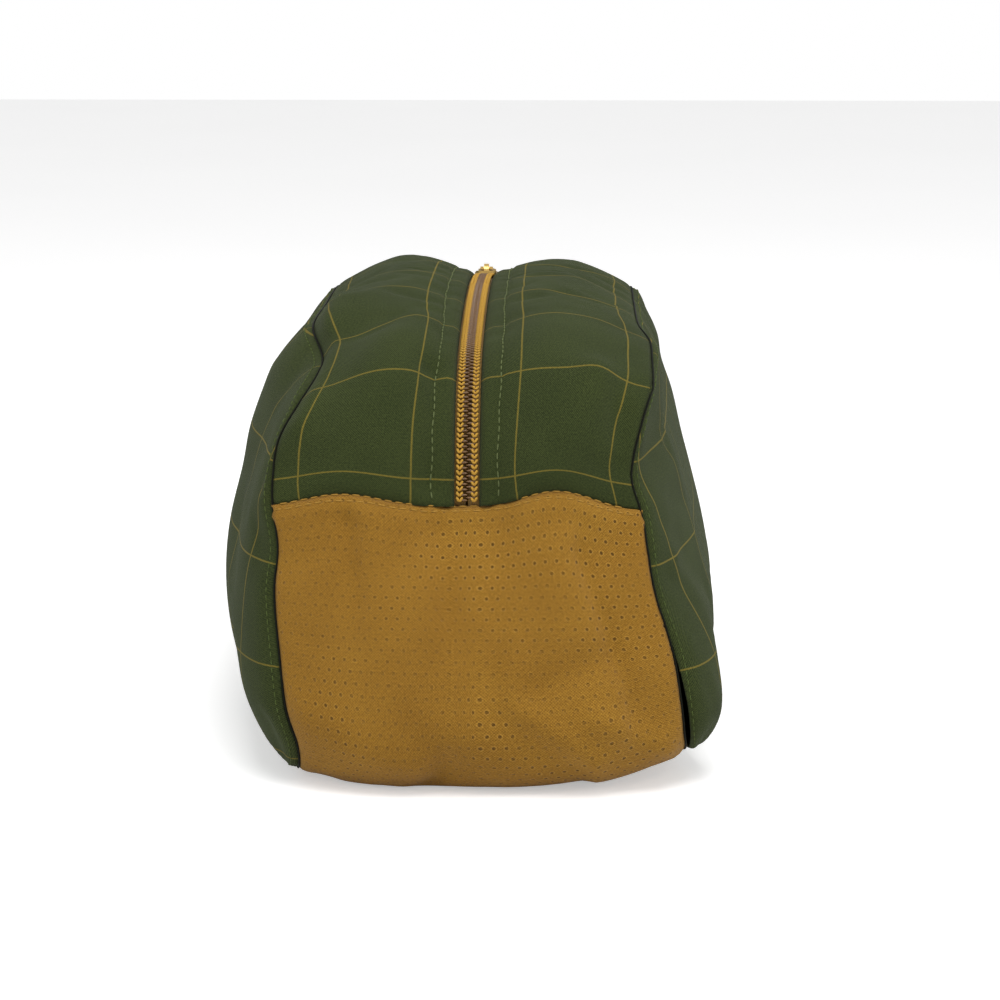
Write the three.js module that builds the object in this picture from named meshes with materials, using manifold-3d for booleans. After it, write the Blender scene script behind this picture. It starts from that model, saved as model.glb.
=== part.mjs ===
// A soft shoe bag for one pair of golf shoes, in millimetres, +Z up.
// The bag is long in Y and stands on its flat base. A strip of athletic mesh makes the front end, the
// base and the rear end. Two twill panels make the sides and two more make the top, either side of a
// coil zip that runs lengthwise over the crown. The middle of each top panel folds back along its side
// seam once the slider has run to the front. The origin is the middle of the base.
import * as THREE from "three";
import { mergeVertices } from "three/addons/utils/BufferGeometryUtils.js";
import Module from "manifold-3d";

const wasm = await Module();
wasm.setup();

// Overall form
const LENGTH = 330;
const BASE_WIDTH = 146;
const CROWN_WIDTH = 130;
const CREST_HEIGHT = 168; // the zip at the middle of the crown
const SEAM_HEIGHT = 160; // the side seams along the crown
const END_LEAN = THREE.MathUtils.degToRad(12);
const BASE_RADIUS = 18;
const ZIP_CROWN_RADIUS = 520;
const SEAM_CROWN_RADIUS = 20000; // as good as straight, so that the flaps can turn about it
const ZIP_SHOULDER_RADIUS = 55;
const SEAM_SHOULDER_RADIUS = 50;
const HEM_HEIGHT = 104; // the top edge of the mesh at each end
const SIDE_BULGE = 28;
const END_BULGE = 4;
const TOP_PUFF = 5;
const BULGE_POWER = 0.6;

// Cloth, zip and the gaps between neighbours
const CLOTH = 1.3;
const TAPE = 0.6;
const SEAM_GAP = 0.3;
const FLAP_END_GAP = 0.4;
const FLAP_HALF = 80; // the flaps reach this far either side of the middle
const FLAP_ROOT_SETBACK = 1.2;
const CHANNEL_HALF = 1.2; // the way between the two coils that the slider's neck runs in
const CHAIN_HALF = 3.9;
const PLACKET_GAP = 0.7;
const TAPE_HALF = 14;
const COIL_STAND = 0.4; // the coil's top over the cloth's outer face

// Grid squares of each sheet
const STRIP_COLUMNS = 6;
const STRIP_ROWS = 56;
const SIDE_COLUMNS = 22;
const SIDE_ROWS = 14;
const TOP_COLUMNS = 8;
const TAPE_COLUMNS = 2;
const COIL_COLUMNS = 1;
const CROWN_ROWS = 12;
const SHOULDER_ROWS = 14;

// Slider and pull
const SLIDER_PARK = 92; // behind the middle when the zip is shut
const SLIDER_LENGTH = 15;
const SLIDER_WIDTH = 11;
const SLIDER_NOSE_WIDTH = 9;
const SLIDER_CORNER = 2;
const PLATE = 1.3;
const PLATE_CLEARANCE = 0.4;
const NECK_LENGTH = 5;
const NECK_CLEARANCE = 0.3;
const ARCH_LENGTH = 8;
const ARCH_WIDTH = 2.2;
const ARCH_HEIGHT = 3.6;
const ARCH_WALL = 1;
const PULL_BAR = 1.3; // diameter of the bar through the arch
const PULL_ARM = 1.3;
const PULL_CLEARANCE = 0.4;
const PULL_LENGTH = 30;
const PULL_WIDTH = 8;
const PULL_THICKNESS = 1.3;
const PULL_TILT = THREE.MathUtils.degToRad(4);
const PULL_SLOT_WIDTH = 3;
const PULL_SLOT_LENGTH = 9;
const PULL_END_LAND = 3.5;

const PLACKET_HALF = CHAIN_HALF + PLACKET_GAP;
const TAPE_TOP = -CLOTH - SEAM_GAP;
const TAPE_BOTTOM = TAPE_TOP - TAPE;
const COIL_BOTTOM = TAPE_TOP + SEAM_GAP;

const SIDES = [
  ["left", -1],
  ["right", 1],
];
const ENDS = [
  ["front", -1],
  ["rear", 1],
];

const twill = { color: 0x36431f, roughness: 0.9, metalness: 0 };
const mesh = { color: 0x8f681f, roughness: 0.85, metalness: 0 };
const tapeCloth = { color: 0x8a6a26, roughness: 0.9, metalness: 0 };
const coil = { color: 0xa07a2c, roughness: 0.5, metalness: 0 };
const metal = { color: 0xb08d3c, roughness: 0.35, metalness: 1 };

const bag = new THREE.Group();
const flaps = { left: new THREE.Group(), right: new THREE.Group() };

function addMesh(parent, name, geometry, look) {
  const made = new THREE.Mesh(geometry, new THREE.MeshStandardMaterial(look));
  made.name = name;
  parent.add(made);
  return made;
}

// ---- Cloth: a sheet between two offsets of one surface ----

// surface(u, v) gives a point; the faces look along dP/du x dP/dv.
function normalAt(surface, u, v) {
  const step = 1e-3;
  const across = surface(Math.min(1, u + step), v).sub(surface(Math.max(0, u - step), v));
  const along = surface(u, Math.min(1, v + step)).sub(surface(u, Math.max(0, v - step)));
  return across.cross(along).normalize();
}

// Moves along the normal, which suits a sheet that hangs from its outer face.
function alongNormal(normal, offset) {
  return normal.multiplyScalar(offset);
}

// Moves outward in X alone and inward in Y and Z alone, so that a side panel keeps clear of the plane
// of its seam and inside the bag's outline, whichever way its rim faces.
function splitAtSeam(normal, offset) {
  const across = offset > 0 ? normal.x * offset : 0;
  const inPlane = offset > 0 ? 0 : offset;
  return new THREE.Vector3(across, normal.y * inPlane, normal.z * inPlane);
}

function sheetGeometry(surface, outer, inner, columns, rows, shift = alongNormal) {
  const geometry = new THREE.BoxGeometry(1, 1, 1, columns, rows, 1);
  const position = geometry.getAttribute("position");
  for (let i = 0; i < position.count; i++) {
    const u = Math.round((position.getX(i) + 0.5) * columns) / columns;
    const v = Math.round((position.getY(i) + 0.5) * rows) / rows;
    const offset = position.getZ(i) > 0 ? outer : inner;
    const point = surface(u, v).add(shift(normalAt(surface, u, v), offset));
    position.setXYZ(i, point.x, point.y, point.z);
  }
  geometry.deleteAttribute("uv");
  geometry.computeVertexNormals();
  return geometry;
}

// Half the width of the mesh strip and the top panels at a height.
function halfWidth(z) {
  return THREE.MathUtils.lerp(BASE_WIDTH, CROWN_WIDTH, z / SEAM_HEIGHT) / 2;
}

// ---- Lines along the bag, as (y, z) of the rear half ----

const outward = new THREE.Vector2(Math.cos(END_LEAN), Math.sin(END_LEAN));
const upward = new THREE.Vector2(-Math.sin(END_LEAN), Math.cos(END_LEAN));
const baseCentre = new THREE.Vector2(LENGTH / 2 - BASE_RADIUS, BASE_RADIUS);
const endFoot = baseCentre.clone().addScaledVector(outward, BASE_RADIUS);
const hem = endFoot.clone().addScaledVector(upward, (HEM_HEIGHT - endFoot.y) / upward.y);

function crownHeight(y, height, radius) {
  return height - radius + Math.sqrt(radius * radius - y * y);
}

// From the end of the flap over the shoulder to the hem: the rest of the crown's arc, the shoulder's
// arc that touches both the crown and the leaning end, and the straight end.
function shoulderLine(height, crownRadius, shoulderRadius) {
  const crownCentre = new THREE.Vector2(0, height - crownRadius);
  const start = endFoot.clone().addScaledVector(outward, -shoulderRadius);
  const reach = start.clone().sub(crownCentre);
  const run = reach.dot(upward);
  const climb = -run + Math.sqrt(run * run - reach.lengthSq() + (crownRadius - shoulderRadius) ** 2);
  const centre = start.clone().addScaledVector(upward, climb);
  const toCentre = centre.clone().sub(crownCentre);
  const crownEnd = Math.atan2(toCentre.y, toCentre.x);
  const flapEnd = Math.acos(FLAP_HALF / crownRadius);
  const line = new THREE.Path();
  line.absarc(0, crownCentre.y, crownRadius, flapEnd, crownEnd, true);
  line.absarc(centre.x, centre.y, shoulderRadius, crownEnd, END_LEAN, true);
  line.lineTo(hem.x, hem.y);
  return { line, centre, crownCentre, crownEnd };
}

const zipShoulder = shoulderLine(CREST_HEIGHT, ZIP_CROWN_RADIUS, ZIP_SHOULDER_RADIUS);
const seamShoulder = shoulderLine(SEAM_HEIGHT, SEAM_CROWN_RADIUS, SEAM_SHOULDER_RADIUS);

function zipHeight(y) {
  return crownHeight(y, CREST_HEIGHT, ZIP_CROWN_RADIUS);
}

function seamHeight(y) {
  return crownHeight(y, SEAM_HEIGHT, SEAM_CROWN_RADIUS);
}

// The whole strip of mesh from the front hem under the base to the rear hem.
function stripLine() {
  const line = new THREE.Path();
  line.moveTo(-hem.x, hem.y);
  line.lineTo(-endFoot.x, endFoot.y);
  line.absarc(-baseCentre.x, baseCentre.y, BASE_RADIUS, Math.PI - END_LEAN, 1.5 * Math.PI, false);
  line.lineTo(baseCentre.x, 0);
  line.absarc(baseCentre.x, baseCentre.y, BASE_RADIUS, 1.5 * Math.PI, 2 * Math.PI + END_LEAN, false);
  line.lineTo(hem.x, hem.y);
  return line;
}

// ---- Mesh strip ----

function makeMeshStrip() {
  const line = stripLine();
  const endShare = (HEM_HEIGHT - BASE_RADIUS) / line.getLength();
  // The ends belly out between the base and the hem; the base stays flat.
  const belly = (u, v) => {
    const fromHem = Math.min(v, 1 - v);
    return fromHem < endShare ? Math.sin((Math.PI * fromHem) / endShare) * 4 * u * (1 - u) : 0;
  };
  const surface = (u, v) => {
    const point = line.getPointAt(v);
    const way = line.getTangentAt(v);
    const push = END_BULGE * belly(u, v);
    const side = halfWidth(point.y) * (1 - 2 * u);
    return new THREE.Vector3(side, point.x + way.y * push, point.y - way.x * push);
  };
  addMesh(bag, "mesh_strip", sheetGeometry(surface, 0, -CLOTH, STRIP_COLUMNS, STRIP_ROWS), mesh);
}

// ---- Side panels: a Coons patch on the outline, puffed outward ----

// The outline's four edges, run from the rear to the front or from the bottom to the top. They meet
// halfway round the base's and the shoulders' arcs.
function sideEdges() {
  const baseTurn = -Math.PI / 4;
  const topTurn = (END_LEAN + seamShoulder.crownEnd) / 2;
  const { centre, crownCentre, crownEnd } = seamShoulder;
  const bottom = new THREE.Path();
  bottom.absarc(baseCentre.x, baseCentre.y, BASE_RADIUS, baseTurn, -Math.PI / 2, true);
  bottom.absarc(-baseCentre.x, baseCentre.y, BASE_RADIUS, -Math.PI / 2, -Math.PI - baseTurn, true);
  const top = new THREE.Path();
  top.absarc(centre.x, centre.y, SEAM_SHOULDER_RADIUS, topTurn, crownEnd, false);
  top.absarc(0, crownCentre.y, SEAM_CROWN_RADIUS, crownEnd, Math.PI - crownEnd, false);
  top.absarc(-centre.x, centre.y, SEAM_SHOULDER_RADIUS, Math.PI - crownEnd, Math.PI - topTurn, false);
  const rear = new THREE.Path();
  rear.absarc(baseCentre.x, baseCentre.y, BASE_RADIUS, baseTurn, END_LEAN, false);
  rear.absarc(centre.x, centre.y, SEAM_SHOULDER_RADIUS, END_LEAN, topTurn, false);
  return { bottom, top, rear };
}

function makeSidePanels() {
  const edges = sideEdges();
  // The bag's side is its own mirror image, so its front edge is the rear edge turned round.
  const between = (rearPoint, u) => new THREE.Vector2(rearPoint.x * (1 - 2 * u), rearPoint.y);
  const foot = edges.rear.getPointAt(0);
  const head = edges.rear.getPointAt(1);
  const flat = (u, v) => {
    const point = edges.bottom.getPointAt(u).lerp(edges.top.getPointAt(u), v);
    point.add(between(edges.rear.getPointAt(v), u));
    return point.sub(between(foot.clone().lerp(head, v), u));
  };
  for (const [side, sign] of SIDES) {
    const surface = (u, v) => {
      const along = sign < 0 ? u : 1 - u;
      const point = flat(along, v);
      const puff = (4 * along * (1 - along) * 4 * v * (1 - v)) ** BULGE_POWER;
      const x = halfWidth(point.y) + SEAM_GAP + SIDE_BULGE * puff;
      return new THREE.Vector3(sign * x, point.x, point.y);
    };
    const geometry = sheetGeometry(surface, CLOTH, -CLOTH, SIDE_COLUMNS, SIDE_ROWS, splitAtSeam);
    addMesh(bag, `side_panel_${side}`, geometry, twill);
  }
}

// ---- Top panels, zip tapes and coils: strips of one surface over the crown and each shoulder ----

// The top's surface at x, for a zip point and a seam point of one cross line.
function topPoint(x, zipPoint, seamPoint, puff) {
  const share = x / halfWidth(seamPoint.y);
  const point = zipPoint.clone().lerp(seamPoint, share);
  const rise = puff * Math.sin(Math.PI * share) ** 2;
  return new THREE.Vector3(x, point.x, point.y + rise);
}

function crownPoint(x, y) {
  const zipPoint = new THREE.Vector2(y, zipHeight(y));
  const seamPoint = new THREE.Vector2(y, seamHeight(y));
  return topPoint(x, zipPoint, seamPoint, TOP_PUFF);
}

function shoulderPoint(x, v) {
  return topPoint(x, zipShoulder.line.getPointAt(v), seamShoulder.line.getPointAt(v), TOP_PUFF * (1 - v * v));
}

// One strip between two distances from the zip, in its crown, front and rear lengths. The strip runs
// to the side seam where outerEdge is null.
function addTopStrip(name, look, columns, edges, offsets) {
  const [innerEdge, outerEdge] = edges;
  const crownEnd = FLAP_HALF - FLAP_END_GAP / 2;
  const startShare = FLAP_END_GAP / 2 / zipShoulder.line.getLength();
  const endShare = 1 - SEAM_GAP / zipShoulder.line.getLength();
  const place = (u, seamZ, setback) => {
    const far = outerEdge ?? halfWidth(seamZ) - setback;
    return THREE.MathUtils.lerp(innerEdge, far, u);
  };
  for (const [side, sign] of SIDES) {
    const crown = (u, v) => {
      const y = THREE.MathUtils.lerp(-crownEnd, crownEnd, v);
      const x = place(sign < 0 ? 1 - u : u, seamHeight(y), FLAP_ROOT_SETBACK);
      const point = crownPoint(x, y);
      return new THREE.Vector3(point.x * sign, point.y, point.z);
    };
    const crownSheet = sheetGeometry(crown, ...offsets, columns, CROWN_ROWS);
    addMesh(flaps[side], `${name}_${side}_crown`, crownSheet, look);
    for (const [end, endSign] of ENDS) {
      const shoulder = (u, v) => {
        const share = THREE.MathUtils.lerp(startShare, endShare, v);
        const seamZ = seamShoulder.line.getPointAt(share).y;
        const x = place(sign * endSign < 0 ? 1 - u : u, seamZ, 0);
        const point = shoulderPoint(x, share);
        return new THREE.Vector3(point.x * sign, point.y * endSign, point.z);
      };
      const shoulderSheet = sheetGeometry(shoulder, ...offsets, columns, SHOULDER_ROWS);
      addMesh(bag, `${name}_${side}_${end}`, shoulderSheet, look);
    }
  }
}

function makeTop() {
  bag.add(flaps.left, flaps.right);
  addTopStrip("top_panel", twill, TOP_COLUMNS, [PLACKET_HALF, null], [0, -CLOTH]);
  addTopStrip("zip_tape", tapeCloth, TAPE_COLUMNS, [CHANNEL_HALF, TAPE_HALF], [TAPE_TOP, TAPE_BOTTOM]);
  addTopStrip("zip_coil", coil, COIL_COLUMNS, [CHANNEL_HALF, CHAIN_HALF], [COIL_STAND, COIL_BOTTOM]);
}

// ---- Slider and pull ----

function solid(geometry) {
  const bare = geometry.index ? geometry.toNonIndexed() : geometry.clone();
  bare.deleteAttribute("normal");
  bare.deleteAttribute("uv");
  const merged = mergeVertices(bare, 1e-4);
  const vertProperties = new Float32Array(merged.getAttribute("position").array);
  const triVerts = new Uint32Array(merged.index.array);
  return new wasm.Manifold(new wasm.Mesh({ numProp: 3, vertProperties, triVerts }));
}

function geometryOf(manifold) {
  const made = manifold.getMesh();
  const geometry = new THREE.BufferGeometry();
  geometry.setAttribute("position", new THREE.BufferAttribute(made.vertProperties, 3));
  geometry.setIndex(new THREE.BufferAttribute(made.triVerts, 1));
  geometry.computeVertexNormals();
  return geometry;
}

function box(width, length, height, x, y, z) {
  const geometry = new THREE.BoxGeometry(width, length, height);
  return solid(geometry.translate(x, y, z));
}

// A plate seen from above, wide at the rear, with rounded corners.
function plate(bottom) {
  const shape = new THREE.Shape();
  const rear = SLIDER_LENGTH / 2;
  const wide = SLIDER_WIDTH / 2;
  const nose = SLIDER_NOSE_WIDTH / 2;
  shape.moveTo(-nose + SLIDER_CORNER, -rear);
  shape.lineTo(nose - SLIDER_CORNER, -rear);
  shape.quadraticCurveTo(nose, -rear, nose, -rear + SLIDER_CORNER);
  shape.lineTo(wide, rear - SLIDER_CORNER);
  shape.quadraticCurveTo(wide, rear, wide - SLIDER_CORNER, rear);
  shape.lineTo(-wide + SLIDER_CORNER, rear);
  shape.quadraticCurveTo(-wide, rear, -wide, rear - SLIDER_CORNER);
  shape.lineTo(-nose, -rear + SLIDER_CORNER);
  shape.quadraticCurveTo(-nose, -rear, -nose + SLIDER_CORNER, -rear);
  const geometry = new THREE.ExtrudeGeometry(shape, { depth: PLATE, bevelEnabled: false, curveSegments: 4 });
  return solid(geometry.translate(0, 0, bottom));
}

const topPlateBottom = COIL_STAND + PLATE_CLEARANCE;
const lowPlateTop = TAPE_BOTTOM - PLATE_CLEARANCE;
const plateTop = topPlateBottom + PLATE;
const pivotHeight = plateTop + ARCH_HEIGHT - ARCH_WALL - PULL_CLEARANCE - PULL_BAR / 2;

// The arch on the top plate, as a half disc with a window for the pull's bar.
function arch() {
  const half = ARCH_LENGTH / 2;
  const hole = half - ARCH_WALL;
  const shape = new THREE.Shape();
  shape.moveTo(-half, -PLATE / 2);
  shape.lineTo(-half, 0);
  shape.bezierCurveTo(-half, ARCH_HEIGHT * 1.33, half, ARCH_HEIGHT * 1.33, half, 0);
  shape.lineTo(half, -PLATE / 2);
  shape.lineTo(hole, -PLATE / 2);
  shape.lineTo(hole, 0);
  const inside = (ARCH_HEIGHT - ARCH_WALL) * 1.33;
  shape.bezierCurveTo(hole, inside, -hole, inside, -hole, 0);
  shape.lineTo(-hole, -PLATE / 2);
  shape.closePath();
  const geometry = new THREE.ExtrudeGeometry(shape, {
    depth: ARCH_WIDTH,
    bevelEnabled: false,
    curveSegments: 12,
  });
  geometry.translate(0, 0, -ARCH_WIDTH / 2);
  geometry.rotateX(Math.PI / 2);
  geometry.rotateZ(Math.PI / 2);
  return solid(geometry.translate(0, 0, plateTop));
}

function sliderBody() {
  const neckWidth = 2 * (CHANNEL_HALF - NECK_CLEARANCE);
  const neckHeight = plateTop - lowPlateTop;
  const neckMiddle = (plateTop + lowPlateTop - PLATE) / 2;
  const neckY = (SLIDER_LENGTH - NECK_LENGTH) / 2 - SLIDER_CORNER;
  const neck = box(neckWidth, NECK_LENGTH, neckHeight, 0, neckY, neckMiddle);
  return plate(topPlateBottom).add(plate(lowPlateTop - PLATE)).add(neck).add(arch());
}

// The pull lies along +Y from its bar at the origin.
function pullTab() {
  const innerHalf = ARCH_WIDTH / 2 + PULL_CLEARANCE;
  const armMiddle = innerHalf + PULL_ARM / 2;
  const armLength = ARCH_LENGTH / 2 + PULL_CLEARANCE + PULL_BAR;
  const barLength = 2 * (innerHalf + PULL_ARM);
  const barGeometry = new THREE.CylinderGeometry(PULL_BAR / 2, PULL_BAR / 2, barLength, 16);
  const bar = solid(barGeometry.rotateZ(Math.PI / 2));
  const arms = [-1, 1].map((sign) => {
    const middle = armLength / 2 - PULL_BAR / 4;
    return box(PULL_ARM, armLength + PULL_BAR / 2, PULL_THICKNESS, sign * armMiddle, middle, 0);
  });
  const shape = new THREE.Shape();
  const half = PULL_WIDTH / 2;
  shape.moveTo(-barLength / 2, armLength - PULL_BAR / 2);
  shape.lineTo(barLength / 2, armLength - PULL_BAR / 2);
  shape.lineTo(half, armLength + PULL_ARM * 2);
  shape.lineTo(half, PULL_LENGTH - half);
  shape.absarc(0, PULL_LENGTH - half, half, 0, Math.PI, false);
  shape.lineTo(-half, armLength + PULL_ARM * 2);
  shape.closePath();
  const slot = new THREE.Path();
  const slotHalf = PULL_SLOT_WIDTH / 2;
  const slotTop = PULL_LENGTH - PULL_END_LAND - slotHalf;
  const slotFoot = slotTop - PULL_SLOT_LENGTH + PULL_SLOT_WIDTH;
  slot.absarc(0, slotTop, slotHalf, 0, Math.PI, false);
  slot.absarc(0, slotFoot, slotHalf, Math.PI, 2 * Math.PI, false);
  slot.closePath();
  shape.holes.push(slot);
  const flat = { depth: PULL_THICKNESS, bevelEnabled: false, curveSegments: 8 };
  const geometry = new THREE.ExtrudeGeometry(shape, flat);
  const tab = solid(geometry.translate(0, 0, -PULL_THICKNESS / 2));
  return bar.add(arms[0]).add(arms[1]).add(tab);
}

function makeSlider() {
  // The slider turns about the centre of the crown's arc, so its group stands there.
  const runner = new THREE.Group();
  runner.position.z = CREST_HEIGHT - ZIP_CROWN_RADIUS;
  runner.rotation.x = -Math.asin(SLIDER_PARK / ZIP_CROWN_RADIUS);
  bag.add(runner);
  const body = addMesh(runner, "slider_body", geometryOf(sliderBody()), metal);
  body.position.z = ZIP_CROWN_RADIUS;
  const pull = addMesh(runner, "pull_tab", geometryOf(pullTab()), metal);
  pull.position.z = ZIP_CROWN_RADIUS + pivotHeight;
  pull.rotation.x = -PULL_TILT;
}

makeMeshStrip();
makeSidePanels();
makeTop();
makeSlider();

export default bag;
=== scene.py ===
import math

import bmesh
import bpy
import numpy as np
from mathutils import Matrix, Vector
from mathutils.bvhtree import BVHTree
from mathutils.kdtree import KDTree


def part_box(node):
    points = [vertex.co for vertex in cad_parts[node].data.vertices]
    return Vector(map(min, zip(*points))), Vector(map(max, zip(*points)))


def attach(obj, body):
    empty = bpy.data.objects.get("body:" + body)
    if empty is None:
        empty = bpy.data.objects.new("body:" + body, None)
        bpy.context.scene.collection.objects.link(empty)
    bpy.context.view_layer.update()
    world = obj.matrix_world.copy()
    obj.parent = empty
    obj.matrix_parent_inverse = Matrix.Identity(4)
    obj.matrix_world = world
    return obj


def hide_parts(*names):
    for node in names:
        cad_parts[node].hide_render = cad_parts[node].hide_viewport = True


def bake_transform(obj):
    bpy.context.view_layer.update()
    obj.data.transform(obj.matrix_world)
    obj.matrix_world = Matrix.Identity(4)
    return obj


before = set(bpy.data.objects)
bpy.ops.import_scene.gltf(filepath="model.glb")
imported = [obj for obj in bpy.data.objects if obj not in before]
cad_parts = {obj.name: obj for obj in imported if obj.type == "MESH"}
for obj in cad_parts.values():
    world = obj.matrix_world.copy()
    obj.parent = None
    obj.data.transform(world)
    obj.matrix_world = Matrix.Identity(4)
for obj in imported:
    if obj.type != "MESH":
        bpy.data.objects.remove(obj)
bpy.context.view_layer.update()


# ---- Camera and studio ----
# The bag is seen from its front end, a little from above, with a long lens. It stands on a pale floor
# under soft boxes overhead and to both sides.

camera = bpy.data.objects.new("camera", bpy.data.cameras.new("camera"))
bpy.context.scene.collection.objects.link(camera)
bpy.context.scene.camera = camera
camera.data.sensor_width = 36
camera.data.lens = 98.2
camera.location = (0.0381, -1.1335, 0.3135)
aim = Vector((0.0123, -0.147, 0.1067))
camera.rotation_euler = (aim - camera.location).to_track_quat("-Z", "Y").to_euler()
bpy.context.scene.view_settings.view_transform = "Standard"


class Value:
    """A shader socket that can be used in sums."""

    def __init__(self, finish, socket):
        self.finish = finish
        self.socket = socket

    def math(self, operation, *others):
        return self.finish.node("ShaderNodeMath", {"operation": operation}, [self, *others])

    def __add__(self, other):
        return self.math("ADD", other)

    def __radd__(self, other):
        return self.math("ADD", other)

    def __sub__(self, other):
        return self.math("SUBTRACT", other)

    def __rsub__(self, other):
        return self.finish.node("ShaderNodeMath", {"operation": "SUBTRACT"}, [other, self])

    def __mul__(self, other):
        return self.math("MULTIPLY", other)

    def __rmul__(self, other):
        return self.math("MULTIPLY", other)

    def __truediv__(self, other):
        return self.math("DIVIDE", other)

    def sine(self):
        return self.math("SINE")

    def floor(self):
        return self.math("FLOOR")

    def root(self):
        return self.math("SQRT")

    def nearest(self, period):
        """The distance to the nearest multiple of period."""
        return self.math("PINGPONG", period / 2)

    def fade(self, low, high):
        """0 below low, 1 above high, and smooth between them."""
        settings = {"interpolation_type": "SMOOTHSTEP"}
        return self.finish.node("ShaderNodeMapRange", settings, [self, low, high])


class Finish:
    """A material made of nodes round one Principled shader."""

    def __init__(self, name):
        self.material = bpy.data.materials.new(name)
        self.material.use_nodes = True
        self.tree = self.material.node_tree
        self.shader = self.tree.nodes["Principled BSDF"]

    def node(self, kind, settings=None, inputs=(), output=0):
        made = self.tree.nodes.new(kind)
        for key, value in (settings or {}).items():
            setattr(made, key, value)
        named = inputs.items() if isinstance(inputs, dict) else enumerate(inputs)
        for key, value in named:
            self.set(made.inputs[key], value)
        return Value(self, made.outputs[output])

    def set(self, socket, value):
        if isinstance(value, Value):
            self.tree.links.new(value.socket, socket)
        else:
            socket.default_value = value

    def mix(self, factor, first, second):
        """first where factor is 0 and second where it is 1, as colours."""
        made = self.tree.nodes.new("ShaderNodeMix")
        made.data_type = "RGBA"
        for index, value in ((0, factor), (6, first), (7, second)):
            self.set(made.inputs[index], value)
        return Value(self, made.outputs[2])

    def noise(self, scale, detail=2.0, where=None):
        inputs = {"Scale": scale, "Detail": detail}
        if where is not None:
            inputs["Vector"] = where
        return self.node("ShaderNodeTexNoise", None, inputs)

    def place(self):
        """The point on the piece, in the part's own frame."""
        return self.node("ShaderNodeTexCoord", output="Object")

    def flat(self):
        """The point on the cloth as it was cut, in metres: along the vector, across it and the vector."""
        uv = self.node("ShaderNodeUVMap", {"uv_map": "flat"})
        parts = self.tree.nodes.new("ShaderNodeSeparateXYZ")
        self.tree.links.new(uv.socket, parts.inputs[0])
        return Value(self, parts.outputs[0]), Value(self, parts.outputs[1]), uv

    def finish(self, color, roughness, height=None, depth=0.001, **fixed):
        self.set(self.shader.inputs["Base Color"], color)
        self.set(self.shader.inputs["Roughness"], roughness)
        if height is not None:
            bump = {"Height": height, "Distance": depth, "Strength": 1.0}
            self.set(self.shader.inputs["Normal"], self.node("ShaderNodeBump", None, bump))
        for name, value in fixed.items():
            self.shader.inputs[name.replace("_", " ")].default_value = value
        return self.material


def paint(red, green, blue):
    """A display colour from 0 to 255 as a linear colour."""
    def linear(value):
        share = value / 255
        return share / 12.92 if share <= 0.04045 else ((share + 0.055) / 1.055) ** 2.4
    return (linear(red), linear(green), linear(blue), 1.0)


def pale_floor():
    made = Finish("pale_floor")
    grain = made.noise(3.0, where=made.place())
    made.finish(made.mix(grain, paint(243, 243, 243), paint(238, 238, 238)), 0.9 + 0.05 * grain)
    ray = made.tree.nodes.new("ShaderNodeLightPath")
    seen = Value(made, ray.outputs["Is Camera Ray"]) + Value(made, ray.outputs["Is Glossy Ray"])
    glow = made.node("ShaderNodeEmission", None, {"Color": (1, 1, 1, 1), "Strength": 0.42 * seen})
    both = made.node("ShaderNodeAddShader", None, [Value(made, made.shader.outputs[0]), glow])
    made.set(made.tree.nodes["Material Output"].inputs[0], both)
    return made.material


floor_mesh = bpy.data.meshes.new("floor")
shape = bmesh.new()
bmesh.ops.create_grid(shape, x_segments=8, y_segments=8, size=4.0)
bmesh.ops.translate(shape, vec=(0, 0, -0.0003), verts=shape.verts)
shape.to_mesh(floor_mesh)
shape.free()
floor = bpy.data.objects.new("floor", floor_mesh)
bpy.context.scene.collection.objects.link(floor)
floor_mesh.materials.append(pale_floor())


def soft_box(name, place, target, width, power):
    lamp = bpy.data.lights.new(name, "AREA")
    lamp.shape = "SQUARE"
    lamp.size = width
    lamp.energy = power
    made = bpy.data.objects.new(name, lamp)
    bpy.context.scene.collection.objects.link(made)
    made.location = place
    made.rotation_euler = (Vector(target) - Vector(place)).to_track_quat("-Z", "Y").to_euler()


soft_box("overhead", (0.15, -0.55, 1.5), (0, 0, 0.1), 0.9, 17)
soft_box("left_fill", (-1.3, -0.9, 0.7), (0, 0, 0.1), 1.0, 5)
soft_box("right_fill", (1.3, -0.7, 0.8), (0, 0, 0.1), 1.0, 6)

world = bpy.data.worlds.new("studio")
bpy.context.scene.world = world
world.use_nodes = True
nodes = world.node_tree.nodes
ray = nodes.new("ShaderNodeLightPath")
seen = nodes.new("ShaderNodeMath")
seen.operation = "MAXIMUM"
world.node_tree.links.new(ray.outputs["Is Camera Ray"], seen.inputs[0])
world.node_tree.links.new(ray.outputs["Is Glossy Ray"], seen.inputs[1])
level = nodes.new("ShaderNodeMapRange")
level.inputs["To Min"].default_value = 0.46
level.inputs["To Max"].default_value = 1.0
world.node_tree.links.new(seen.outputs[0], level.inputs["Value"])
world.node_tree.links.new(level.outputs[0], nodes["Background"].inputs["Strength"])
nodes["Background"].inputs["Color"].default_value = (1, 1, 1, 1)


# ---- Cloth body: the shape of all panels ----
# The stuffed bag is one skin: a strip of mesh under and up both ends, two side panels and two top
# panels, sewn edge to edge. Its girth is set by the side seams and the line of the zip, as points
# along the front half, and the skin is then filled out as cloth with its seams held.

ZIP_EDGE = 0.0046  # the placket edge, either side of the middle
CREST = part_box("zip_coil_left_crown")[1][2] - 0.0004
CROWN_RADIUS = 0.520
SHOULDER_RADIUS = 0.055
END_LEAN = math.radians(12)
BASE_RADIUS = 0.018
HALF_LENGTH = 0.165
HEM_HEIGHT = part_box("mesh_strip")[1][2]

SIDE_CELLS = 72  # cells along the base and along the top, corner to corner
END_CELLS = 40  # cells up each end, corner to corner
HEM_CELLS = 26  # of which the mesh takes these
HALF_CELLS = 16  # cells across from the side seam to the zip


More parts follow.
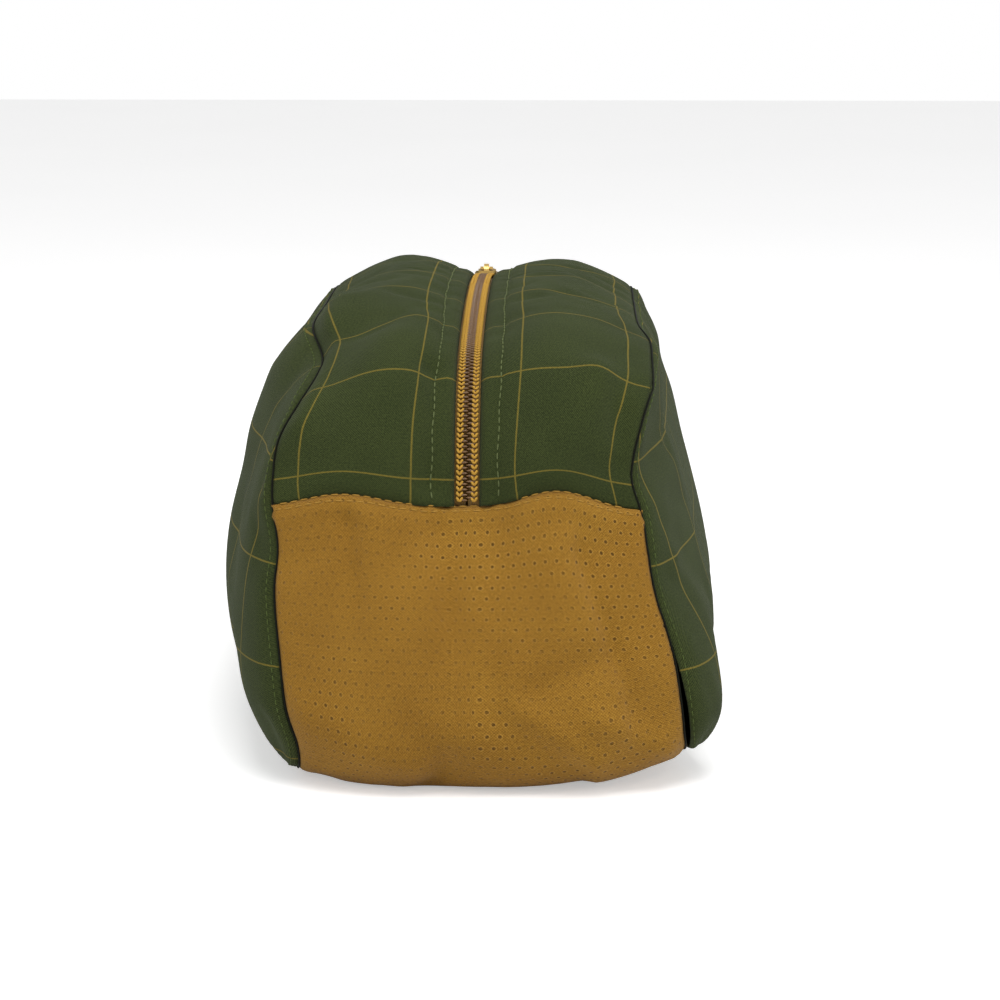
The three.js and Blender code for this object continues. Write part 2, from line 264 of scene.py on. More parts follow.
def zip_line():
    """The line of the zip from the crest to the hem, as (distance, y, z, lean) of the rear half."""
    foot = np.array([HALF_LENGTH - BASE_RADIUS, BASE_RADIUS])
    out = np.array([math.cos(END_LEAN), math.sin(END_LEAN)])
    up = np.array([-math.sin(END_LEAN), math.cos(END_LEAN)])
    start = foot + out * (BASE_RADIUS - SHOULDER_RADIUS)
    middle = np.array([0, CREST - CROWN_RADIUS])
    run = (start - middle) @ up
    reach = (start - middle) @ (start - middle)
    centre = start + up * (-run + math.sqrt(run * run - reach + (CROWN_RADIUS - SHOULDER_RADIUS) ** 2))
    turn = math.atan2(centre[0] - middle[0], centre[1] - middle[1])
    steep = math.pi / 2 - END_LEAN
    points = [(middle[0] + CROWN_RADIUS * math.sin(a), middle[1] + CROWN_RADIUS * math.cos(a), a)
              for a in np.linspace(0, turn, 120)]
    points += [(centre[0] + SHOULDER_RADIUS * math.sin(a), centre[1] + SHOULDER_RADIUS * math.cos(a), a)
               for a in np.linspace(turn, steep, 120)[1:]]
    last = np.array(points[-1][:2])
    hem = last - up * ((last[1] - HEM_HEIGHT) / up[1])
    points += [(*(last + (hem - last) * share), steep) for share in np.linspace(0, 1, 30)[1:]]
    points = np.array(points)
    steps = np.hypot(np.diff(points[:, 0]), np.diff(points[:, 1]))
    return np.column_stack([np.concatenate([[0], np.cumsum(steps)]), points])


ZIP = zip_line()
ZIP_HALF = ZIP[-1, 0]


def on_zip(along, across, height):
    """A point by its distance along the zip from the crest (front is negative), across and above it."""
    reach = min(abs(along), ZIP_HALF)
    y, z, lean = (float(np.interp(reach, ZIP[:, 0], ZIP[:, k])) for k in (1, 2, 3))
    y += height * math.sin(lean)
    z += height * math.cos(lean)
    return Vector((across, y if along > 0 else -y, z))


# The front half of the girth, from the middle of the base to the crest: the left seam, the right seam
# and, below the hem, the middle of the strip as (y, z). All in millimetres.
FRONT = [
    [(-72, 0, 4), (72, 0, 4), (0, 0.4)],
    [(-72, -60, 4), (74, -60, 4), (-60, 0.4)],
    [(-70, -115, 3), (78, -115, 6), (-118, 0.4)],
    [(-64, -150, 3), (82, -148, 11), (-161, 0.8)],
    [(-63, -163, 16), (81.5, -162, 21), (-174, 10)],
    [(-67, -165, 31), (80, -164, 35), (-176, 28)],
    [(-69.5, -161, 52), (77, -161, 52), (-170, 51)],
    [(-71.5, -156, 73), (70.5, -156, 73), (-163, 73)],
    [(-70.5, -152, 89), (67.5, -152, 89), (-155.5, 89)],
    [(-72.5, -148, 104), (65, -148, 103), None],
    [(-72.5, -144, 117), (61.5, -145, 116), None],
    [(-70.5, -138.5, 129), (64.5, -140, 132), None],
    [(-63, -126, 141), (69, -128, 146), None],
    [(-58.5, -108, 148.5), (69.5, -107, 154), None],
    [(-58.5, -89, 152), (69.2, -86, 158), None],
    [(-64.8, -60, 159.3), (65.6, -60, 160.5), None],
    [(-65.2, 0, 160), (65.2, 0, 160), None],
]
BASE_TURN = 3  # the side panels' lower corners are at this place in the list
HEM_PLACE = 9
TOP_TURN = 12


def girth():
    """The whole girth, from the middle of the base up the front, over the top and down the rear."""
    def rear(place):
        left, right, middle = place
        width = (right[0] - left[0]) / 2
        y = (left[1] + right[1]) / 2
        z = (left[2] + right[2]) / 2
        turned = None if middle is None else (-middle[0], middle[1])
        return [(-width, -y, z), (width, -y, z), turned]
    loop = FRONT + [rear(place) for place in reversed(FRONT[:-1])]
    return loop[:-1]  # starts and ends at the middle of the base, which is one place


def through(points, at):
    """A smooth curve through a closed loop of points, at a place counted in points."""
    count = len(points)
    start = int(math.floor(at))
    share = at - start
    a, b, c, d = (points[(start + k) % count] for k in (-1, 0, 1, 2))
    return 0.5 * (2 * b + (c - a) * share + (2 * a - 5 * b + 4 * c - d) * share**2
                  + (3 * b - 3 * c + d - a) * share**3)


def even_places(loop, first, last, cells):
    """Places from first to last, evenly spaced along the mean of the two seams."""
    fine = np.linspace(first, last, 200)
    line = np.array([(through(loop[0], p) + through(loop[1], p)) / 2 for p in fine])
    length = np.concatenate([[0], np.cumsum(np.linalg.norm(np.diff(line, axis=0), axis=1))])
    return np.interp(np.linspace(0, length[-1], cells + 1), length, fine)


LOOP = girth()
COUNT = len(LOOP)
LEFT = np.array([place[0] for place in LOOP], float) / 1000
RIGHT = np.array([place[1] for place in LOOP], float) / 1000
CREST_PLACE = len(FRONT) - 1
turns = [-BASE_TURN, BASE_TURN, HEM_PLACE, TOP_TURN]
turns += [2 * CREST_PLACE - TOP_TURN, 2 * CREST_PLACE - HEM_PLACE, 2 * CREST_PLACE - BASE_TURN]
stretches = [SIDE_CELLS, HEM_CELLS, END_CELLS - HEM_CELLS, SIDE_CELLS, END_CELLS - HEM_CELLS, HEM_CELLS]
ROWS = []
for first, last, cells in zip(turns, turns[1:], stretches):
    ROWS += list(even_places((LEFT, RIGHT), first, last, cells)[:-1])
BASE_ROW = 0
FRONT_ROW = SIDE_CELLS
FRONT_HEM_ROW = FRONT_ROW + HEM_CELLS
TOP_ROW = FRONT_ROW + END_CELLS
REAR_TOP_ROW = TOP_ROW + SIDE_CELLS
REAR_HEM_ROW = REAR_TOP_ROW + END_CELLS - HEM_CELLS
CREST_ROW = TOP_ROW + SIDE_CELLS // 2
ROW_COUNT = len(ROWS)

middle_places = [k for k, place in enumerate(LOOP) if place[2] is not None]
MIDDLE = np.zeros((COUNT, 2))
for k in middle_places:
    MIDDLE[k] = np.array(LOOP[k][2]) / 1000
for k in (HEM_PLACE, HEM_PLACE + 1, 2 * CREST_PLACE - HEM_PLACE, 2 * CREST_PLACE - HEM_PLACE - 1):
    hem_point = on_zip(-ZIP_HALF if k < CREST_PLACE else ZIP_HALF, 0, 0.001)
    MIDDLE[k] = (hem_point.y, hem_point.z)


def bell(value, centre, width):
    return math.exp(-(((value - centre) / width) ** 2))


def ease(value):
    value = min(1.0, max(0.0, value))
    return value * value * (3 - 2 * value)


TOP_LENGTHS = {}
for row in range(FRONT_HEM_ROW, REAR_HEM_ROW + 1):
    share = (row - FRONT_HEM_ROW) / (REAR_HEM_ROW - FRONT_HEM_ROW)
    TOP_LENGTHS[row] = ZIP_HALF * (2 * share - 1)


HEM_HUMP = 0.0055  # how far the cloth between the zip and a seam stands out at the hem
CROWN_HUMP = {-1: 0.0045, 1: 0.0030}  # how much more it does so over the crown


def strip_point(row, side, share):
    """A point across the strip or the top: side is -1 or 1, and share runs from the zip to the seam."""
    place = ROWS[row % ROW_COUNT]
    seams = {-1: Vector(through(LEFT, place)), 1: Vector(through(RIGHT, place))}
    seam = seams[side]
    top = FRONT_HEM_ROW <= row <= REAR_HEM_ROW
    if top:
        along = TOP_LENGTHS[row]
        middle = on_zip(along, side * ZIP_EDGE, 0.0)
        near_hem = 1.0
    else:
        y, z = through(MIDDLE, place)
        middle = Vector((side * ZIP_EDGE, y, z))
        hems = (FRONT_HEM_ROW, REAR_HEM_ROW, REAR_HEM_ROW - ROW_COUNT)
        rows_off = min(abs(row - hem) for hem in hems)
        near_hem = ease(1 - rows_off / 12)
    point = middle.lerp(seam, share)
    if not top:
        crown = (1 - share**2.6) - (1 - share)
        point.y += (middle.y - seam.y) * crown * (1 - near_hem)
        point.z += (middle.z - seam.z) * crown * (1 - near_hem)
    outward = Vector((0, seam.y, seam.z - 0.085)).normalized()
    if top:
        from_hem = (ZIP_HALF - abs(along)) / ZIP_HALF
        hump = HEM_HUMP + CROWN_HUMP[side] * ease(from_hem * 3.2)
        upright = on_zip(along, 0, 1.0) - on_zip(along, 0, 0.0)
        outward = upright.normalized()
    else:
        hump = HEM_HUMP * near_hem
    point += outward * hump * math.sin(math.pi * share**0.85) ** 1.3
    return point


def sway(point, row):
    """The hem's rise over the two swells either side of the zip, fading above and below it."""
    off = min(abs(row - FRONT_HEM_ROW), abs(row - REAR_HEM_ROW))
    fade = math.exp(-((off / 5.0) ** 2))
    rise = 0.0045 * bell(point.x, -0.046, 0.018) + 0.0065 * bell(point.x, 0.034, 0.017)
    if row <= CREST_ROW:
        point.z += fade * rise
    else:
        point.z += fade * 0.002 * (bell(point.x, -0.035, 0.02) + bell(point.x, 0.035, 0.02))
    return point


def grid_panel(skin, columns, rows, place, flat, panel, wrap=None):
    """Adds a grid whose points and cut-out coordinates come from their column and row."""
    made = bmesh.ops.create_grid(skin, x_segments=columns, y_segments=rows, size=0.5)
    coordinates = skin.loops.layers.uv["flat"]
    cells = {}
    for vert in made["verts"]:
        cells[vert] = (round((vert.co.x + 0.5) * columns), round((vert.co.y + 0.5) * rows))
    for vert, (column, row) in cells.items():
        vert.co = place(column, row)
    for face in {face for vert in cells for face in vert.link_faces}:
        face.material_index = panel
        for loop in face.loops:
            loop[coordinates].uv = flat(*cells[loop.vert])
    if wrap:
        for vert, cell in cells.items():
            if wrap(*cell):
                vert[skin.verts.layers.int["held"]] = 1


def side_flat(side, column, row):
    point = side_point(side, column, row)
    return (point.y, point.z * 1.08)


def seam_at(side, row):
    return Vector(through(LEFT if side < 0 else RIGHT, ROWS[row % ROW_COUNT]))


SIDE_SWELL = {-1: 0.0270, 1: 0.0225}


def side_point(side, column, row):
    """A point of a side panel: column runs from the rear to the front, row from the base up."""
    u = column / SIDE_CELLS
    v = row / END_CELLS
    base = seam_at(side, BASE_ROW + column)
    top = seam_at(side, REAR_TOP_ROW - column)
    front = seam_at(side, FRONT_ROW + row)
    rear = seam_at(side, ROW_COUNT - row)
    foot_rear, foot_front = seam_at(side, 0), seam_at(side, FRONT_ROW)
    head_rear, head_front = seam_at(side, REAR_TOP_ROW), seam_at(side, TOP_ROW)
    point = base.lerp(top, v) + rear.lerp(front, u)
    point -= foot_rear.lerp(foot_front, u).lerp(head_rear.lerp(head_front, u), v)
    swell = (4 * u * (1 - u)) ** 0.52 * (4 * v * (1 - v)) ** 0.6
    swell *= 1.12 - 0.72 * ease(v * 1.15 - 0.1)
    low_corner = bell(u, 0.93, 0.07) * bell(v, 0.16, 0.16) * (0.008 if side > 0 else 0.003)
    point.x += side * (SIDE_SWELL[side] * swell + low_corner)
    return point


STRIP_STEP = 0.0042  # the length of mesh cut for each row of cells


def strip_flat(side, row, share):
    """Cut-out coordinates: across from the zip, and up from the hem or down from it below."""
    width = 0.070 * share + ZIP_EDGE * (1 - share)
    if FRONT_HEM_ROW <= row <= REAR_HEM_ROW:
        along = TOP_LENGTHS[row] + ZIP_HALF
    else:
        along = (row - FRONT_HEM_ROW) * STRIP_STEP
    return (side * width, along)


PANELS = ["side_left", "side_right", "mesh", "top_left", "top_right", "zip"]
skin = bmesh.new()
skin.loops.layers.uv.new("flat")
skin.verts.layers.int.new("held")
for panel, side in ((0, -1), (1, 1)):
    grid_panel(
        skin, SIDE_CELLS, END_CELLS,
        lambda column, row, side=side: side_point(side, column, row),
        lambda column, row, side=side: side_flat(side, column, row),
        panel,
        lambda column, row: column in (0, SIDE_CELLS) or row in (0, END_CELLS),
    )

top_rows = REAR_HEM_ROW - FRONT_HEM_ROW
strip_rows = ROW_COUNT - top_rows
for side, top_panel in ((-1, 3), (1, 4)):
    def across(column, row, side=side):
        return sway(strip_point(row, side, column / HALF_CELLS), row)

    def cut(column, row, side=side):
        return strip_flat(side, row, column / HALF_CELLS)

    grid_panel(
        skin, HALF_CELLS, top_rows,
        lambda column, row, across=across: across(column, row + FRONT_HEM_ROW),
        lambda column, row, cut=cut: cut(column, row + FRONT_HEM_ROW),
        top_panel,
        lambda column, row: column in (0, HALF_CELLS) or row in (0, top_rows),
    )

    def strip_row(row):
        return row - (ROW_COUNT - REAR_HEM_ROW)

    def lower(column, row, across=across):
        at = strip_row(row)
        return across(column, at if at > -(ROW_COUNT - REAR_HEM_ROW) else REAR_HEM_ROW)

    def lower_cut(column, row, cut=cut):
        return cut(column, strip_row(row))

    grid_panel(
        skin, HALF_CELLS, strip_rows, lower, lower_cut, 2,
        lambda column, row: column == HALF_CELLS or row in (0, strip_rows),
    )


def strip_middle(column, row):
    side = -1 if column == 0 else 1
    at = row - (ROW_COUNT - REAR_HEM_ROW)
    at = at if at > -(ROW_COUNT - REAR_HEM_ROW) else REAR_HEM_ROW
    return sway(strip_point(at, side, 0), at)


grid_panel(
    skin, 1, strip_rows, strip_middle,
    lambda column, row: ((2 * column - 1) * ZIP_EDGE, strip_flat(-1, strip_row(row), 0)[1]),
    2,
    lambda column, row: row in (0, strip_rows),
)
grid_panel(
    skin, 1, top_rows,
    lambda column, row: on_zip(TOP_LENGTHS[row + FRONT_HEM_ROW], (2 * column - 1) * ZIP_EDGE, 0),
    lambda column, row: (0, 0),
    5,
    lambda column, row: True,
)
bmesh.ops.remove_doubles(skin, verts=skin.verts, dist=0.0002)
bmesh.ops.recalc_face_normals(skin, faces=skin.faces)

body_mesh = bpy.data.meshes.new("body")
skin.to_mesh(body_mesh)
skin.free()
body = bpy.data.objects.new("body", body_mesh)
bpy.context.scene.collection.objects.link(body)
held = body.vertex_groups.new(name="held")
held_layer = body_mesh.attributes["held"].data
for index, item in enumerate(held_layer):
    if item.value:
        held.add([index], 1.0, "REPLACE")


def fill_out(obj, frames, pressure, growth):
    """Lets the skin swell as cloth with its seams held, and keeps the shape it comes to."""
    cloth = obj.modifiers.new("cloth", "CLOTH")
    settings = cloth.settings
    settings.quality = 6
    settings.mass = 0.25
    settings.tension_stiffness = 12
    settings.compression_stiffness = 12
    settings.shear_stiffness = 4
    settings.bending_stiffness = 0.6
    settings.vertex_group_mass = "held"
    settings.use_pressure = True
    settings.uniform_pressure_force = pressure
    settings.shrink_min = -growth
    settings.effector_weights.gravity = 0.0
    cloth.point_cache.frame_start = 1
    cloth.point_cache.frame_end = frames
    for number in range(1, frames + 1):
        bpy.context.scene.frame_set(number)
    shown = obj.evaluated_get(bpy.context.evaluated_depsgraph_get())
    moved = np.array([vert.co[:] for vert in shown.data.vertices])
    obj.modifiers.remove(cloth)
    bpy.context.scene.frame_set(1)
    return moved


rest_points = np.array([vert.co[:] for vert in body_mesh.vertices])
full_points = fill_out(body, 18, 1.2, 0.010)
step = full_points - rest_points
length = np.linalg.norm(step, axis=1, keepdims=True)
step *= np.minimum(1.0, 0.006 / np.maximum(length, 1e-9))
moved = rest_points + step
moved[:, 2] = np.maximum(moved[:, 2], 0.0002)
body_mesh.vertices.foreach_set("co", moved.astype(np.float32).ravel())
body_mesh.update()


def sheet_piece(name, panel, keep=None):
    """One panel cut from the skin, as its own object."""
    cut = bmesh.new()
    cut.from_mesh(body_mesh)
    gone = [face for face in cut.faces if face.material_index != panel
            or (keep and not keep(face.calc_center_median()))]
    bmesh.ops.delete(cut, geom=gone, context="FACES")
    for face in cut.faces:
        face.material_index = 0
        face.smooth = True
    mesh = bpy.data.meshes.new(name)
    cut.to_mesh(mesh)
    cut.free()
    made = bpy.data.objects.new(name, mesh)
    bpy.context.scene.collection.objects.link(made)
    return made


def apply_modifiers(obj):
    shown = obj.evaluated_get(bpy.context.evaluated_depsgraph_get())
    mesh = bpy.data.meshes.new_from_object(shown)
    old = obj.data
    obj.modifiers.clear()
    obj.data = mesh
    mesh.name = obj.name
    bpy.data.meshes.remove(old)
    obj.vertex_groups.clear()


def refine(obj, levels):
    finer = obj.modifiers.new("finer", "SUBSURF")
    finer.levels = finer.render_levels = levels
    finer.boundary_smooth = "PRESERVE_CORNERS"
    finer.uv_smooth = "NONE"
    apply_modifiers(obj)


def press(obj, depth, margin=0.0):
    """Moves each point along its normal by depth(point, flat), less and less within margin of an edge."""
    mesh = obj.data
    share = [ease(off / margin) for off in edge_distance(obj)] if margin else [1.0] * len(mesh.vertices)
    flat = np.zeros((len(mesh.vertices), 2))
    for loop, uv in zip(mesh.loops, mesh.uv_layers["flat"].data):
        flat[loop.vertex_index] = uv.uv
    normals = [vert.normal.copy() for vert in mesh.vertices]
    for vert, normal, at, part in zip(mesh.vertices, normals, flat, share):
        vert.co += normal * depth(vert.co, at) * part
    mesh.update()


def thicken(obj, thickness=0.0011):
    wall = obj.modifiers.new("wall", "SOLIDIFY")
    wall.thickness = thickness
    wall.offset = -1
    wall.use_even_offset = False
    apply_modifiers(obj)
    for polygon in obj.data.polygons:
        polygon.use_smooth = True


# ---- Side panels ----
# Each side is one piece of green cotton twill with a fine olive windowpane check. It is sewn all round
# to the mesh strip and the top, and swells over the shoes inside.

def twill(name, slant):
    """Green twill: diagonal ribs, a heather of dark and light yarn, and thin check lines."""
    made = Finish(name)
    x, y, uv = made.flat()
    rib = ((x + slant * y) * (2 * math.pi / 0.00082)).sine()
    yarn = made.noise(1500.0, 2.0, uv)
    cloud = made.noise(38.0, 3.0, uv)
    upright = 1 - (x - 0.020).nearest(0.040).fade(0.00022, 0.00042)
    level = 1 - (y - 0.010).nearest(0.040).fade(0.00022, 0.00042)
    check = upright.math("MAXIMUM", level) * (0.55 + 0.45 * yarn)
    green = made.mix(0.42 + 1.3 * (yarn - 0.5) + 0.22 * rib + 0.4 * (cloud - 0.5),
                     paint(29, 37, 15), paint(68, 77, 39))
    cloth = made.mix(0.7 * check, green, paint(136, 118, 48))
    height = 0.5 + 0.3 * rib + 0.5 * yarn + 0.3 * check
    return made.finish(cloth, 0.88 + 0.1 * yarn, height, 0.00022,
                       Sheen_Weight=0.03, Sheen_Roughness=0.5, Specular_IOR_Level=0.12)


def edge_distance(obj):
    """For each vertex, how far it is from the sheet's open edge, in metres."""
    work = bmesh.new()
    work.from_mesh(obj.data)
    edge = [vert.co.copy() for vert in work.verts if vert.is_boundary]
    work.free()
    near = KDTree(len(edge))
    for index, point in enumerate(edge):
        near.insert(point, index)
    near.balance()
    return [near.find(vert.co)[2] for vert in obj.data.vertices]


seam_points = KDTree(len(body_mesh.vertices))
for vert in body_mesh.vertices:
    seam_points.insert(vert.co, vert.index)
seam_points.balance()
skin_normals = [vert.normal.copy() for vert in body_mesh.vertices]


def tuck_edges(obj, depth, width, side_only=False):
    """Rolls a sheet's edge down into its seam, the same way as the sheet it is sewn to."""
    work = bmesh.new()
    work.from_mesh(obj.data)
    edge = [vert.co.copy() for vert in work.verts if vert.is_boundary]
    work.free()
    edge = [point for point in edge if not side_only or abs(point.x) > 0.02]
    near = KDTree(len(edge))
    for index, point in enumerate(edge):
        near.insert(point, index)
    near.balance()
    for vert in obj.data.vertices:
        spot, _, off = near.find(vert.co)
        vert.co -= skin_normals[seam_points.find(spot)[1]] * depth * math.exp(-off / width)
    obj.data.update()


side_pieces = {}
for side, panel, name in ((-1, 0, "left"), (1, 1, "right")):
    piece = sheet_piece(f"side_cloth_{name}", panel)
    refine(piece, 1)
    tuck_edges(piece, 0.0012, 0.0020)
    side_pieces[name] = piece
    thicken(piece)
    piece.data.materials.append(twill(f"side_twill_{name}", side * -1.0))
    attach(piece, "bag")
    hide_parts(f"side_panel_{name}")


# ---- Mesh strip ----
# One strip of gold athletic mesh makes the front end, the base and the rear end. Its top edges are
# turned under and sewn down across the bag.

def athletic_mesh():
    """Gold knitted mesh: staggered rows of small round holes in a fine knit. The holes are painted dark
    brown as painted shade of the bag's inside seen through them, and their rims are painted lighter as a
    painted highlight; both come and go in random patches.
    """
    made = Finish("athletic_mesh")
    x, y, uv = made.flat()
    drift = made.noise(14.0, 2.0, uv)
    x = x + 0.0016 * (drift - 0.5)
    row = (y / 0.0038).floor()
    odd = row - 2 * (row / 2).floor()
    across = (x / 0.004 + 0.5 * odd).math("FRACT") - 0.5
    down = (y / 0.0038).math("FRACT") - 0.5
    radius = (across * across * 16.0 + down * down * 14.4).root()
    hole = 1 - radius.fade(0.38, 0.62)
    lip = radius.fade(0.5, 0.75) * (1 - radius.fade(0.8, 1.2))
    knit = (x * (2 * math.pi / 0.0010)).sine() * (y * (2 * math.pi / 0.0009)).sine()
    yarn = made.noise(1300.0, 2.0, uv)
    cloud = made.noise(30.0, 3.0, uv)
    # How strongly the painted shade in the holes and the painted highlight on their rims show, in random
    # patches.
    hole_shade_and_rim_highlight = 0.16 + 0.5 * made.noise(26.0, 1.0, uv).fade(0.42, 0.66)
    gold = made.mix(0.48 + 1.0 * (yarn - 0.5) + 0.22 * knit + 0.5 * (cloud - 0.5),
                    paint(100, 64, 6), paint(164, 122, 40))
    # Painted highlight: the raised rim round each hole is painted a lighter gold.
    gold = made.mix(0.30 * lip * hole_shade_and_rim_highlight, gold, paint(206, 158, 72))
    # Painted shade: each hole is painted dark brown where the shaded inside of the bag would show through.
    cloth = made.mix(hole * hole_shade_and_rim_highlight, gold, paint(52, 32, 4))
    height = 0.5 + 0.25 * knit + 0.4 * yarn - 0.9 * hole + 0.25 * lip
    return made.finish(cloth, 0.8 + 0.1 * yarn, height, 0.00030,
                       Sheen_Weight=0.05, Sheen_Roughness=0.5, Specular_IOR_Level=0.2)


def crease(point, start, end, width, depth, step=0.0):
    """A fold between two points: a rise (or a dip) of one depth, and a step from its left to its right."""
    line = Vector(end) - Vector(start)
    share = (point - Vector(start)).dot(line) / line.length_squared
    near = Vector(start) + line * min(1.0, max(0.0, share))
    off = (point - near).length
    rise = depth * math.exp(-((off / width) ** 2))
    if step:
        over = (point.x - near.x) / width
        rise += step * math.tanh(over * 2.5) * math.exp(-((off / (3.5 * width)) ** 2))
    return rise


def mesh_folds(point, flat):
    """The folds at the front: a crease down to the right foot, a facet above it and soft hollows."""
    if point.y > -0.1:
        return 0.0
    point = Vector((point.x, 0, point.z))
    rise = crease(point, (0.040, 0, 0.089), (0.059, 0, 0.039), 0.0042, -0.0012, -0.0022)
    rise += crease(point, (0.015, 0, 0.037), (0.046, 0, 0.015), 0.0050, 0.0026, 0.0016)
    rise += crease(point, (0.049, 0, 0.030), (0.082, 0, 0.014), 0.0055, 0.0034)
    rise += crease(point, (0.015, 0, 0.037), (0.052, 0, 0.052), 0.0060, -0.0018)
    rise += crease(point, (-0.043, 0, 0.104), (-0.038, 0, 0.072), 0.0045, -0.0016, 0.0010)
    rise += crease(point, (-0.013, 0, 0.104), (-0.008, 0, 0.070), 0.0050, -0.0018, -0.0012)
    rise += crease(point, (-0.060, 0, 0.030), (-0.020, 0, 0.012), 0.0080, 0.0018)
    return rise


mesh_cloth = sheet_piece("mesh_cloth", 2)
refine(mesh_cloth, 1)
press(mesh_cloth, mesh_folds, 0.009)
tuck_edges(mesh_cloth, 0.0012, 0.0020)


def hem_band(point, flat):
    """The turned hem stands a little proud and is pinched along its stitch line."""
    down = -flat[1] if flat[1] <= 0.001 else flat[1] - 2 * ZIP_HALF
    if down < -0.001 or down > 0.02:
        return 0.0
    proud = 0.0010 * math.exp(-((down - 0.003) / 0.004) ** 2)
    return proud - 0.0006 * math.exp(-((down - 0.0020) / 0.0008) ** 2)


press(mesh_cloth, hem_band)
mesh_surface = mesh_cloth.data.copy()
thicken(mesh_cloth)
mesh_cloth.data.materials.append(athletic_mesh())
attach(mesh_cloth, "bag")
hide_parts("mesh_strip")


# ---- Top panels ----
# Two pieces of the same twill, either side of the zip. Each has its zip edge folded under and sewn to
# the zip tape. They run from hem to hem, and each is cut at the middle into a front and a rear half.

PLACKET_STITCH = 0.0077  # from the folded edge to the sewing


def placket(point, flat):
    """The folded edge stands proud as far as its sewing, which pulls the cloth down."""
    off = abs(flat[0]) - ZIP_EDGE
    rise = 0.0007 * ease(off / 0.0012) * (1 - ease((off - 0.004) / 0.003))
    return rise - 0.0007 * math.exp(-((off - PLACKET_STITCH) / 0.0012) ** 2)


def left_folds(point, flat):
    rise = crease(point, (-0.052, -0.060, 0.165), (-0.068, -0.135, 0.134), 0.011, 0.0050)
    rise += crease(point, (-0.015, -0.146, 0.112), (-0.014, -0.125, 0.152), 0.0055, -0.0030)
    rise += crease(point, (-0.036, -0.140, 0.128), (-0.030, -0.110, 0.160), 0.010, 0.0015)
    return rise


def right_folds(point, flat):
    rise = crease(point, (0.047, -0.130, 0.150), (0.032, -0.146, 0.113), 0.008, 0.0045)
    rise += crease(point, (0.030, -0.149, 0.112), (0.034, -0.149, 0.110), 0.003, -0.0020)
    rise += crease(point, (0.058, -0.140, 0.138), (0.060, -0.143, 0.122), 0.007, -0.0035)
    return rise


top_surfaces = {}
for side, panel, name, folds in ((-1, 3, "left", left_folds), (1, 4, "right", right_folds)):
    whole = sheet_piece(f"top_{name}", panel)
    refine(whole, 1)
    press(whole, folds, 0.009)
    press(whole, placket)
    tuck_edges(whole, 0.0012, 0.0020, side_only=True)
    cloth_finish = twill(f"top_twill_{name}", 1.0)
    top_surfaces[name] = whole.data.copy()
    for end, sign in (("front", -1), ("rear", 1)):
        piece = whole.copy()
        piece.data = whole.data.copy()
        piece.name = piece.data.name = f"top_cloth_{name}_{end}"
        bpy.context.scene.collection.objects.link(piece)
        half = bmesh.new()
        half.from_mesh(piece.data)
        gone = [face for face in half.faces if face.calc_center_median().y * sign < 0]
        bmesh.ops.delete(half, geom=gone, context="FACES")
        half.to_mesh(piece.data)
        half.free()
        thicken(piece)
        piece.data.materials.append(cloth_finish)
        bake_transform(piece)
        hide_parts(f"top_panel_{name}_{end}", f"top_panel_{name}_crown")
    bpy.data.objects.remove(whole)


# ---- Zip ----
# A number 8 nylon coil, gold, on two woven tapes. Each coil is held to its tape by two rows of chain
# stitch, and the coils' heads lock together along the middle.

def woven_tape():
    made = Finish("woven_tape")
    where = made.place()
    yarn = made.noise(1400.0, 2.0, where)
    weave = made.node("ShaderNodeTexWave", None, {"Vector": where, "Scale": 420.0, "Distortion": 1.0}, 1)
    color = made.mix(0.3 + 0.5 * yarn, paint(96, 70, 20), paint(140, 106, 42))
    return made.finish(color, 0.85 + 0.1 * yarn, weave, 0.0001, Sheen_Weight=0.2)


def thread(name, dark, light):
    """Twisted sewing thread; in near-black it also makes the painted shade along the side seams."""
    made = Finish(name)
    where = made.place()
    yarn = made.noise(2600.0, 3.0, where)
    return made.finish(made.mix(yarn, dark, light), 0.6 + 0.2 * yarn, yarn, 0.00008, Specular_IOR_Level=0.1)


def coil_nylon():
    made = Finish("coil_nylon")
    where = made.place()
    streak = made.noise(900.0, 3.0, where)
    color = made.mix(0.2 + 0.6 * streak, paint(58, 36, 12), paint(120, 84, 36))
    return made.finish(color, 0.28 + 0.2 * streak, streak, 0.00006)


def link_mesh(name, bm, material):
    mesh = bpy.data.meshes.new(name)
    bm.to_mesh(mesh)
    bm.free()
    for polygon in mesh.polygons:
        polygon.use_smooth = True
    mesh.materials.append(material)
    made = bpy.data.objects.new(name, mesh)
    bpy.context.scene.collection.objects.link(made)
    return made


def bead_shape():
    """A rounded length of thread one unit long, as points and faces."""
    work = bmesh.new()
    bmesh.ops.create_uvsphere(work, u_segments=8, v_segments=6, radius=0.5)
    for vert in work.verts:
        vert.co.z = math.copysign(abs(vert.co.z * 2) ** 0.7, vert.co.z) / 2
    points = np.array([vert.co[:] for vert in work.verts])
    faces = [[vert.index for vert in face.verts] for face in work.faces]
    work.free()
    return points, faces


BEAD = bead_shape()


def lay_beads(name, runs, material):
    """One piece made of many beads, each given as (start, end, up, width, height)."""
    points, faces = [], []
    shape, sides = BEAD
    for start, end, up, width, height in runs:
        along = end - start
        side = along.cross(up).normalized()
        rise = side.cross(along).normalized()
        frame_of_bead = np.array([side * width, rise * height, along])
        first = len(points) * len(shape)
        points.append(shape @ frame_of_bead + np.array((start + end) / 2))
        faces += [[first + k for k in face] for face in sides]
    mesh = bpy.data.meshes.new(name)
    mesh.from_pydata(np.concatenate(points).tolist(), [], faces)
    mesh.shade_smooth()
    mesh.materials.append(material)
    made = bpy.data.objects.new(name, mesh)
    bpy.context.scene.collection.objects.link(made)
    return made


CHAIN_HALF = 0.0040
HEAD_HALF = 0.0014
CHAIN_PITCH = 0.0020
TAPE_HALF = 0.0135
tape_finish = woven_tape()
gold_thread = thread("zip_thread", paint(150, 112, 36), paint(198, 156, 72))
nylon = coil_nylon()

